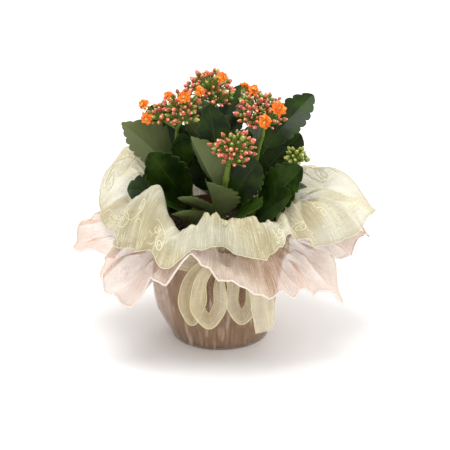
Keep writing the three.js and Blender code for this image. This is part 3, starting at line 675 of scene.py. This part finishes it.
def crumb(random):
    """A small uneven lump with a radius of about 1."""
    heights = np.array([-0.9, -0.35, 0.3, 0.85])[:, None]
    turn = np.arange(6) * math.pi / 3
    uneven = np.array([random() for _ in range(24)]).reshape(4, 6)
    reach = np.sqrt(1 - heights ** 2) * (0.8 + 0.4 * uneven)
    return spread(reach * np.cos(turn), reach * np.sin(turn), heights * 0.8)


# ---- the two organza squares ----
def around(rows, angles, column):
    """Value in a column of a collar's rows at each angle, on one smooth closed curve."""
    table = np.array(rows, float)
    starts, values = table[:, 0], table[:, column]
    span = (np.roll(starts, -1) - starts) % 360
    slope = (np.roll(values, -1) - values) / span
    before = np.roll(slope, 1)
    tangent = np.where(slope * before > 0, 2 * slope * before / (slope + before + 1e-12), 0)
    at = (angles - starts[0]) % 360 + starts[0]
    i = np.searchsorted(starts, at, side="right") - 1
    j = (i + 1) % len(rows)
    t = (at - starts[i]) / span[i]
    return ((1 + 2 * t) * (1 - t) ** 2 * values[i] + t * (1 - t) ** 2 * span[i] * tangent[i]
            + t * t * (3 - 2 * t) * values[j] + t * t * (t - 1) * span[i] * tangent[j])


def slack(angles, z):
    """Room between the cloth and the pot's wall, most of it on the left."""
    off = np.abs((angles - SLACK["angle"] + 540) % 360 - 180) / SLACK["width"]
    return (SLACK["least"] + SLACK["more"] * np.exp(-off * off)) * np.sin(math.pi * held(z / NECK_Z) ** 0.8)


def profile(name, angles):
    """Radius and height of a sheet from the pot's foot to the hem, and where its control rows lie."""
    off, lip = OFF[name], POT["lip_r"] + OFF[name] + 0.6

    cup = [(POT["base"] + off - 0.2, STANDS_AT[name])]
    cup += [(pot_radius(z) + off + slack(angles, z), z) for z in SLACK["rows"]]
    cup += [(pot_radius(z) + off, z) for z in (NECK_Z - 7, NECK_Z + 6)] + [(lip, LIP_Z)]
    cup = np.array([np.broadcast_arrays(r, z, angles)[:2] for r, z in cup])
    steps = np.diff(cup, axis=0)
    rows, marks = [], []
    for k in range(LIP_ROW):
        before, after = steps[max(k - 1, 0)], steps[min(k + 1, LIP_ROW - 1)]
        for t in np.arange(CUP_STEPS) / CUP_STEPS:
            bend = 0.5 * t * (1 - t)
            point = mix(cup[k], cup[k + 1], t)
            if k > 0:
                point = point + bend * (before - steps[k]) * (1 - t)
                point = point + bend * (steps[k] - after) * t
            rows.append(point)
            marks.append(k + t)
    reach, hem, crest = (around(COLLAR[name], angles, column) for column in (1, 2, 3))
    lift = crest + (crest - np.maximum(hem, LIP_Z - 6)) * 0.35
    ends = [
        (lip, LIP_Z), (mix(lip, reach, 0.08), mix(LIP_Z, lift, 0.8)),
        (mix(lip, reach, CREST_AT[name]), lift), (reach, hem),
    ]
    for t in np.linspace(0, 1, COLLAR_STEPS + 1):
        weights = ((1 - t) ** 3, 3 * t * (1 - t) ** 2, 3 * t * t * (1 - t), t ** 3)
        rows.append(np.array([sum(w * end[axis] for w, end in zip(weights, ends)) for axis in (0, 1)]))
        marks.append(mix(LIP_ROW, HEM_ROW, t))
    return np.array(rows), np.array(marks)


def lower_than(blush, cream, marks):
    """Keeps the blush collar a little under the cream one."""
    collar = marks >= LIP_ROW
    for i in range(blush.shape[2]):
        r, z = blush[collar, 0, i], blush[collar, 1, i]
        top_r, top_z = cream[collar, 0, i], cream[collar, 1, i]
        limit = np.interp(r, top_r, top_z) - UNDER + np.maximum(r - top_r[-1], 0) * 1.3
        ease = held(np.linspace(0, 1, len(r)) * 8)
        gap = limit - z
        softly = gap - np.maximum(3 - gap, 0) ** 2 / 12 * (gap > -3)
        blush[collar, 1, i] = np.where(gap < 3, z + np.minimum(softly, 0) * ease, z)
    return blush


def waves(angles, folds, seed):
    """Soft folds of several widths round the pot, as a push out or in."""
    random = seeded(seed)
    turn = np.radians(angles)
    total = 0
    for count, depth in folds:
        bend = 0.9 * np.sin(turn * 2 + PHASE * random()) + 0.6 * np.sin(turn * 5 + PHASE * random())
        strength = 0.65 + 0.35 * np.sin(turn * 3 + PHASE * random())
        total = total + depth * strength * np.cos(turn * count + bend * count / 26 + PHASE * random())
    return total


def creases(angles, rise, folds, seed):
    """Sharp folds that run slantwise from the ribbon to the hem, as a push out or in."""
    random = seeded(seed)
    turn = np.radians(angles)
    total = 0
    for count, slant, depth in folds:
        bend = 0.7 * np.sin(turn * 3 + PHASE * random()) + 0.5 * np.sin(turn * 7 + PHASE * random())
        at = count * turn / (2 * math.pi) + bend + slant * rise
        total = total + depth * (4 * np.abs(at - np.round(at)) - 1)
    return total


def cloth_grid(name):
    """Points on the middle of a sheet, rows from the pot's foot to the hem, and their angles."""
    angles = np.arange(AROUND_STEPS) * 360 / AROUND_STEPS
    cream, marks = profile("cream", angles)
    rows = cream if name == "cream" else lower_than(profile("blush", angles)[0], cream, marks)
    r, z = rows[:, 0], rows[:, 1]
    dr, dz = np.gradient(r, axis=0), np.gradient(z, axis=0)
    length = np.hypot(dr, dz)
    row = marks[:, None]
    small_seed, crisp_seed, fine_seed = SHEET_SEEDS[name]
    tied = np.exp(-((row - 3.6) / 1.5) ** 2)
    free = smooth((row - 5.4) / 4)
    low = smooth(row / 2) * (1 - free)
    rise = held((row - LIP_ROW) / (HEM_ROW - LIP_ROW))
    gathers = np.interp(row, range(len(GATHER)), GATHER) * (np.cos(np.radians(angles) * PLEATS) + 1) / 2
    push = gathers + (tied + 0.6 * low) * waves(angles, TIED_FOLDS, TIED_SEED)
    push = push + free * waves(angles, RUFFLES, RUFFLE_SEED)
    push = push + free * waves(angles, SMALL_RUFFLES, small_seed)
    push = push + held(row - 3) * (1 - 0.75 * rise) * waves(angles, CRISP_FOLDS, crisp_seed)
    pulled = creases(angles, rise, BROAD_CREASES, CREASE_SEED)
    pulled = pulled + creases(angles, rise, FINE_CREASES, fine_seed)
    pulled = np.where(pulled < 0, pulled * smooth(rise / 0.6), pulled)  # clear of the leaves
    push = push + smooth((row - LIP_ROW) / 2) * pulled
    push = np.where(row <= LIP_ROW, np.maximum(push, -0.5), push)  # clear of the pot's wall
    r, z = r + push * dz / length + 1.1 * rise ** 2 * pulled, z - push * dr / length
    turn = np.radians(angles)
    return spread(r * np.cos(turn), r * np.sin(turn), np.maximum(z, STANDS_AT[name])), angles


def grid_normals(grid):
    down = np.gradient(grid, axis=0)
    along = np.roll(grid, -1, 1) - np.roll(grid, 1, 1)
    return unit(np.cross(along, down))


def make_cloth(name, material, hem_material):
    """A sheet and its hem, and the grid that other pieces on it follow."""
    grid, angles = cloth_grid(name)
    disc = [grid[0] * (out, out, 1) for out in (0.02, 0.35, 0.7, 0.9)]
    grid = np.concatenate([disc, grid])
    normals = grid_normals(grid)
    normals[:3] = (0, 0, -1)
    run = np.concatenate([[0], np.cumsum(np.linalg.norm(np.diff(grid, axis=0), axis=-1).mean(1))])
    free = held((run - run[-1] + FREE_EDGE) / 20)
    surface = spread(angles * CLOTH_PER_DEGREE, run[:, None], free[:, None])
    outer, inner = grid + normals * CLOTH / 2, grid - normals * CLOTH / 2
    shape, hem_shape = Shape(), Shape()
    shape.grid(np.concatenate([outer, inner[::-1]]), np.concatenate([surface, surface[::-1]]))
    hem_shape.tube(grid[-1], HEM_RADIUS[name], 6, closed=True)
    slot = f"{name}_organza"
    sheet = make_piece(f"{slot}_sheet", shape, [material], 180, slot, f"wrap_{name}")
    hem = make_piece(f"{slot}_hem", hem_shape, [hem_material], 80, slot)
    return sheet, hem, (grid, normals, run)


def on_cloth(grid, normals, run, angle, from_hem, lift=0.3):
    """The point a little above a sheet at an angle, that far in from its hem."""
    place = angle / 360 * grid.shape[1]
    i = int(math.floor(place))
    row = np.interp(run[-1] - from_hem, run, np.arange(len(run)))
    k = min(int(row), len(run) - 2)

    def at(table):
        near, far = (mix(table[k, c % grid.shape[1]], table[k + 1, c % grid.shape[1]], row - k)
                     for c in (i, i + 1))
        return mix(near, far, place - i)

    return at(grid) + at(normals) * lift


def scroll(turns, start, end, centre, lean):
    """A spiral that opens from start to end, as flat points."""
    turn = np.linspace(0, turns * math.tau, 34)
    reach = np.linspace(start, end, 34)
    return np.array(centre) + spread(reach * np.cos(turn * lean), reach * np.sin(turn * lean))


def make_scrolls(cloth):
    """Tone-on-tone scrolls in a band along the cream hem."""
    shape = Shape()
    for i, angle in enumerate(range(0, 360, SCROLLS["apart"])):
        if angle in PLAIN_FRONT:
            continue
        flip = 1 if i % 2 == 0 else -1
        motif = [
            scroll(1.6, 1.2, 6.2, (-5 * flip, 13), flip), scroll(1.3, 1.0, 4.6, (6.5 * flip, 20), -flip),
            scroll(0.45, 7.5, 8.5, (2 * flip, 22), -flip), scroll(0.35, 5.5, 3.2, (8 * flip, 9), flip),
        ]
        for curve in motif:
            path = [on_cloth(*cloth, angle + x / SCROLLS["per_degree"], max(y, SCROLLS["lowest"]))
                    for x, y in curve]
            shape.tube(path, SCROLLS["radius"], 5)
    return make_piece("cream_organza_scrolls", shape, [SCROLL], 80, "cream_organza")


# ---- the ribbon ----
def make_ribbon():
    """Loops, tails, the band round both sheets and the knot, all of one ribbon."""
    shape = Shape()
    length = KNOT_TAKES + math.tau * RIBBON["band_r"]
    across = np.linspace(-1, 1, RIBBON_POINTS)
    for forward, twist, route in RUNS:
        t = np.linspace(0, 1, 18 * (len(route) - 1) + 1)
        path = through([(x, -forward, z) for x, z in route], t)
        ahead = unit(np.gradient(path, axis=0))
        turn = np.radians(mix(*twist, held((66 - path[:, 2]) / 20)))[:, None]
        tied = np.minimum(t, 1 - t) if len(route) > 5 else t  # a loop comes back to the knot
        free = smooth(tied * 4.5)
        path[:, 1] = mix(KNOT[1], path[:, 1] + 2.5 * (t - 0.5), free)
        inward = unit(spread(-ahead[:, 2], 0, ahead[:, 0]))
        cross = inward * np.cos(turn) + np.array([0, 1, 0]) * np.sin(turn)
        out = unit(np.cross(ahead, cross))[:, None]
        half = (RIBBON["width"] / 2 * mix(0.3, 1, free))[:, None, None]
        crimp = (1 - free)[:, None] * np.cos(across * 9) * 1.1
        belly = 0.7 * (1 - across ** 2) * free[:, None] + 0.25 * np.sin(t * 40)[:, None] * across ** 2
        middle = path[:, None] + half * across[:, None] * cross[:, None]
        middle = middle + (crimp + belly)[..., None] * out
        strip(shape, middle, out)
        length += np.linalg.norm(np.diff(path, axis=0), axis=1).sum()
    turn = np.linspace(0, math.tau, 241)[:, None]
    gathers = 0.35 * np.cos(turn * 64) + 0.25 * np.sin(turn * 23)
    flare = 0.5 * across ** 2 + 1.7 * np.maximum(across, 0) ** 3
    r = RIBBON["band_r"] + flare + gathers
    z = NECK_Z + (RIBBON["width"] / 2 - 0.4 * np.cos(turn * 7)) * across
    band = spread(r * np.cos(turn), r * np.sin(turn), z)
    strip(shape, band, unit(band * (1, 1, 0)))
    add_knot(shape)
    bow = make_piece("ribbon_bow", shape, [RIBBON_IVORY, RIBBON_EDGE], 70, "ivory_ribbon", "ribbon")


def strip(shape, middle, out):
    """A flat ribbon on a grid of points, with a wired edge along both sides."""
    thick = RIBBON["thick"] / 2
    rows = np.concatenate([middle + out * thick, (middle - out * thick)[:, ::-1]], 1)
    across = np.arange(RIBBON_POINTS) * 2.0
    along = np.arange(len(middle))[:, None] * 0.8
    shape.grid(rows, spread(np.concatenate([across, across[::-1]]), along, 1.0))
    for edge in (0, -1):
        shape.tube(middle[:, edge], RIBBON["edge_r"], 5, slot=1)


def add_knot(shape):
    """The knot: three turns of ribbon pulled over each other."""
    across = np.linspace(-1, 1, RIBBON_POINTS)
    turn = np.linspace(0, math.tau, 49)[:, None]
    pinch = 1 - 0.25 * across ** 2 + 0.05 * np.cos(across * 12)
    for lean, size, shift in ((0.15, 1.0, 0), (-0.5, 0.88, 1.5), (0.6, 0.8, -1.5)):
        y, z = 5.0 * size * np.cos(turn), 8.6 * size * np.sin(turn)
        middle = spread(across * 6.5 * size + shift + z * lean * 0.5, y * pinch, z * pinch)
        strip(shape, middle + np.array(KNOT), unit(middle * (0, 1, 1)))


# ---- the plant ----
def leaf_outline(t, fold):
    """Half width along a leaf: a folded leaf tapers more to its tip and is widest nearer its foot."""
    blade = held((t - LEAF_STALK) / (1 - LEAF_STALK)) ** (1.05 - 0.4 * fold ** 2)
    half = np.where(t < LEAF_STALK, 0, np.sin(math.pi * blade) ** (0.55 + 0.6 * fold ** 2))
    return np.maximum(0.14 * (1 - 0.4 * t), half)


def add_leaf(shape, seed, foot, tip, width, arch, roll=0, fold=0.2):
    """A fleshy leaf with round teeth, a channel over its midrib and a ridge under it."""
    random = seeded(seed)
    tip = np.array(tip, float)
    flat = unit((tip - foot) * (1, 1, 0))
    middle = (foot + tip) / 2 + (0, 0, arch) + flat * arch * 0.3
    t = np.concatenate([np.linspace(0, 0.115, 5), np.linspace(LEAF_STALK, 1, LEAF_TEETH * 7 + 1)])
    point, along = bezier([foot, middle, tip], t)
    up = np.array([0, 0, 1.0]) - along * along[:, 2:]
    up[np.linalg.norm(up, axis=1) < 0.2] -= flat
    up = unit(up - along * np.sum(up * along, 1, keepdims=True))
    roll = math.radians(roll)
    face = up * math.cos(roll) + np.cross(along, up) * math.sin(roll)

    u = np.sin(np.linspace(-1, 1, 15) * math.pi / 2)
    t = t[:, None]
    blade = held((t - LEAF_STALK) / (1 - LEAF_STALK))
    depth = mix(0.1, 0.25, blade) * (t > 0.16) * (0.8 + 0.4 * random())
    scallop = 1 - depth * (1 - np.abs(np.sin(math.pi * LEAF_TEETH * blade)) ** 0.55)
    half = np.maximum(0.8, width / 2 * leaf_outline(t, fold) * scallop)
    thick = LEAF_THICK * (1 - 0.45 * t) * 0.5 + 0.6 * (t < 0.15)
    thick = thick * np.clip((1.02 - t) * 12, 0.15, 1) * np.sqrt(np.maximum(1 - u ** 2, 0)) ** 0.7
    wide = half * u
    phase, ripple = PHASE * random(), 0.04 + 0.03 * random()
    sway = half * ripple * u ** 2 * np.sin(t * 17 + phase + 2 * np.sign(u)) * blade
    lift = fold * half * np.abs(u) ** (1.4 - 0.5 * fold) + sway
    groove = np.exp(-(wide / 1.5) ** 2) * held(half / 5)
    veins = np.abs(0.16 * np.cos(math.tau * (9 * t - 2.6 * np.abs(u))) * (1 - u ** 2) * blade)
    top = lift + thick - 0.5 * groove - veins * 0.8
    low = lift - thick - 0.7 * groove * (1 - 0.6 * t) - veins * 0.5
    base = point[:, None] + wide[..., None] * np.cross(along, face)[:, None]
    upper, under = (base + height[..., None] * face[:, None] for height in (top, low))
    shape.grid(both_sides(upper, under), both_sides(spread(u, t, 0), spread(u, t, 1)))


def stem_curve(route, t):
    """Points of a stem from a little over the soil to its top, and its directions."""
    (x, y), (mid_x, mid_y), top = route
    low = SOIL_Z + 7
    return bezier([(x, y, low), (mid_x, mid_y, (low + top[2]) / 2), top], t)


def point_at_height(route, z):
    points = stem_curve(route, np.linspace(0, 1, 400))[0]
    return points[min(np.searchsorted(points[:, 2], z), len(points) - 1)]


def make_stem(name, route, leaves):
    """A stem that swells at its nodes, with its leaves."""
    shape = Shape()
    foot = [(*route[0], z) for z in (STEM_FOOT_Z, SOIL_Z - 4, SOIL_Z + 4)]
    path = np.concatenate([foot, stem_curve(route, np.linspace(0, 1, 26))[0]])
    radii = STEM_R * mix(1, 0.7, held((path[:, 2] - SOIL_Z) / 90))
    for leaf in leaves:
        radii = radii + 0.7 * np.exp(-((path[:, 2] - leaf[0]) / 2.5) ** 2)
    shape.tube(path, radii, 14, slot=1)
    for k, (z, x, y, tip_z, *form) in enumerate(leaves):
        start = point_at_height(route, z)
        out = unit(np.array([x - start[0], y - start[1], 0])) * STEM_R * 0.55
        add_leaf(shape, STEM_SEED + 7 * k + len(name), start + out, (x, y, tip_z), *form)
    make_piece(f"leafy_stem_{name}_fine", shape, [LEAF, STALK], 60, "foliage", f"leafy_stem_{name}")


def add_stalk(shape, points, radii, steps, sides, first=0):
    """A curved green stalk that tapers from one radius to another."""
    path = bezier(points, np.linspace(first, 1, steps))[0]
    shape.tube(path, np.linspace(*radii, steps), sides, slot=1)


def add_bud(shape, node, axis, reach, size, tone):
    """A bud in its calyx, on a curved stalk from the node."""
    axis = unit(axis)
    side, other = basis(axis)
    base = node + axis * reach
    bend = (base + node) / 2 + np.array([0, 0, -1.0]) * reach * 0.06
    path = bezier([node, bend, base], np.linspace(0.05, 1, 5))[0]
    shape.tube(path, [BUD["stalk"] * 1.1, 0.5, 0.45, 0.5, 0.8 * size], 5, slot=1)
    length, radius = BUD["length"] * size, BUD["radius"] * size
    v = np.linspace(0.02, 0.98, 9)[:, None]
    swell = radius * np.sin(math.pi * v ** 0.74) ** 0.72
    points = base + axis * (v * length)[..., None] + swell[..., None] * directions(side, other, 10)
    shape.grid(points, spread(np.arange(10) / 10, v, tone))
    tips = np.where(np.arange(12) % 3 == 0, 1.0, 0.35)[:, None]
    cup = [(0.05, 0.5), (0.2, 0.98), (0.22 + 0.26 * tips, 1.06 + 0.1 * tips), (0.16, 0.8)]
    ring = directions(side, other, 12) * radius
    shape.grid(np.array([base + axis * (up * length) + ring * out for up, out in cup]), slot=1)


def placed(bloom):
    """The middle, size and facing of an open flower."""
    return np.array(bloom[1:4], float), bloom[4], unit(np.array(bloom[5:], float))


def make_spray(name, spray, seed):
    """Forked stalks with round heads of buds, and smaller buds between the large ones."""
    random, more = seeded(seed), seeded(seed + 400)
    shape = Shape()
    tone = 1 if name == YOUNG else 0
    route = STEMS[spray.get("stem", name)][0]
    tip, crotch = np.array(route[2], float), np.array(spray["fork"], float)
    rising = stem_curve(route, np.array([1.0]))[1][0]
    start = tip + rising * (CLEAR + 0.15)
    add_stalk(shape, [start, start + rising * 6, crotch], (2.3, 1.6), 8, 10)
    open_flowers = [placed(bloom) for bloom in spray["blooms"]]

    def taken(place, room):
        return any(np.linalg.norm(centre - place) < size + room for centre, size, _ in open_flowers)

    for h, (x, y, z, radius, count) in enumerate(spray["heads"]):
        top = np.array([x, y, z], float)
        rise = unit(top - crotch)
        node = top - rise * radius * 0.9
        node[2] = min(node[2], z - radius * 0.55)
        middle = (crotch + node) / 2 + np.cross(rise, (0, 0, 1)) * 1.5
        add_stalk(shape, [crotch - rise, middle, node], (1.8, 1.4), 7, 8)
        for i in range(count):
            polar = math.acos(1 - (0.06 + (0.84 * (i + 0.5)) / count))
            axis = sphere_direction(polar, GOLDEN_ANGLE * i + h + 0.5 * random())
            reach = radius * (0.86 + 0.2 * random())
            if not taken(node + axis * reach, BUD_ROOM):
                add_bud(shape, node, axis, reach, 0.85 + 0.3 * random(), tone + more())
        for i in range(count * BESIDE):
            polar = math.acos(1 - 1.05 * (i + 0.5) / (count * BESIDE))
            axis = sphere_direction(polar, GOLDEN_ANGLE * i + h)
            reach = radius * (0.6 + 0.42 * more())
            if not taken(node + axis * reach, SMALL_BUD_ROOM):
                add_bud(shape, node, axis, reach, 0.55 + 0.4 * more(), tone + more())
        for bloom, (centre, size, facing) in zip(spray["blooms"], open_flowers):
            if bloom[0] == h:
                foot = centre - facing * (size * BLOOM_FOOT + CLEAR)
                add_stalk(shape, [node, foot - facing * 3, foot], (0.85, 0.85), 7, 6, first=0.06)
    make_piece(f"flower_spray_{name}", shape, [BUD_PINK, STALK], 60, "buds", f"spray_{name}")


def make_bloom(name, bloom, seed):
    """A double flower: whorls of ruffled petals on a green calyx, with a few anthers."""
    random = seeded(seed)
    shape = Shape()
    centre, size, facing = placed(bloom)
    side, other = basis(facing)
    foot = centre - facing * size * BLOOM_FOOT
    calyx = [(0, 0.12), (0.2, 0.2), (0.55, 0.24), (0.78, 0.34)]
    shape.tube([foot + facing * size * up for up, _ in calyx], [out * size for _, out in calyx], 10, slot=1)
    for k in range(ANTHERS["count"]):
        turn = ANTHERS["turn"] * k
        aside = (side * math.cos(turn) + other * math.sin(turn)) * size * ANTHERS["out"]
        path = [centre + aside + facing * (up * size) for up in (0, 0.34, 0.44)]
        shape.tube(path, np.array([0.06, 0.09, 0.04]) * size, 6, mark=(0, 0, 1.4))
    u = np.array([-1, -0.7, -0.35, 0, 0.35, 0.7, 1])
    t = np.linspace(0, 1, 9)[:, None]
    for w, (count, reach, width, tilt, cup) in enumerate(WHORLS):
        marks = spread(u, t, w / (len(WHORLS) - 1))
        half = size * width * np.sin(math.pi * (0.12 + 0.72 * t)) ** 0.6 * np.sqrt(1 - 0.92 * t ** 6)
        for p in range(count):
            turn = math.tau * (p + 0.5 * (w % 2) + 0.5 * (random() - 0.5)) / count
            out = side * math.cos(turn) + other * math.sin(turn)
            lean = math.radians(tilt + 34 * (random() - 0.4))
            long = size * reach * (0.78 + 0.3 * random())
            droop = t ** 2 * long * 0.22 * (1 if w < 2 else -0.4)
            run = out * (math.cos(lean) * long * t) + facing * (math.sin(lean) * long * t - droop)
            ruffle = 0.16 * size * u ** 2 * np.sin(9 * t + PHASE * random() + u * 2) * t
            dish = cup * half * u ** 2 + ruffle
            middle = (centre + facing * size * 0.03 * w + run)[:, None]
            middle = middle + (half * u)[..., None] * np.cross(facing, out) + dish[..., None] * facing
            thick = facing * PETAL_THICK / 2
            shape.grid(both_sides(middle + thick, middle - thick), both_sides(marks, marks))
    make_piece(f"open_flower_{name}", shape, [PETAL, STALK], 70, "petals", f"bloom_{name}")


# ---- camera, light and floor ----
def make_studio():
    scene = bpy.context.scene
    camera_data = bpy.data.cameras.new("camera")
    camera_data.lens = CAMERA["lens"]
    camera_data.sensor_width = CAMERA["sensor"]
    camera = add_object("camera", camera_data)
    camera.location = CAMERA["place"]
    camera.rotation_euler = (math.radians(CAMERA["tilt"]), 0, 0)
    scene.camera = camera
    scene.world = bpy.data.worlds.new("studio")
    scene.world.use_nodes = True
    sky = scene.world.node_tree.nodes["Background"].inputs
    sky["Color"].default_value = (1, 1, 1, 1)
    sky["Strength"].default_value = 0.8
    for name, place, size, power in LIGHTS:
        data = bpy.data.lights.new(name, "AREA")
        data.size, data.energy = size, power
        light = add_object(name, data)
        light.location = place
        light.rotation_euler = (Vector(LIT_POINT) - Vector(place)).to_track_quat("-Z", "Y").to_euler()
    mesh = bpy.data.meshes.new("floor")
    corners = [(x * FLOOR_REACH, y * FLOOR_REACH, 0) for x, y in ((-1, -1), (1, -1), (1, 1), (-1, 1))]
    mesh.from_pydata(corners, [], [(0, 1, 2, 3)])
    mesh.materials.append(floor_look())
    add_object("floor", mesh)
    scene.view_settings.view_transform = "Standard"
    scene.cycles.transparent_max_bounces = 48


# ---- the object ----
make_studio()
make_pot()
make_soil()
blush, blush_hem, _ = make_cloth("blush", BLUSH, BLUSH_HEM)
cream, cream_hem, cream_cloth = make_cloth("cream", CREAM, CREAM_HEM)
scrolls = make_scrolls(cream_cloth)
make_ribbon()
for name, (route, leaves) in STEMS.items():
    make_stem(name, route, leaves)
for i, (name, spray) in enumerate(SPRAYS.items()):
    make_spray(name, spray, SPRAY_SEED + i)
    for k, bloom in enumerate(spray["blooms"]):
        make_bloom(f"{name}_{k + 1}", bloom, BLOOM_SEED + 13 * i + k)
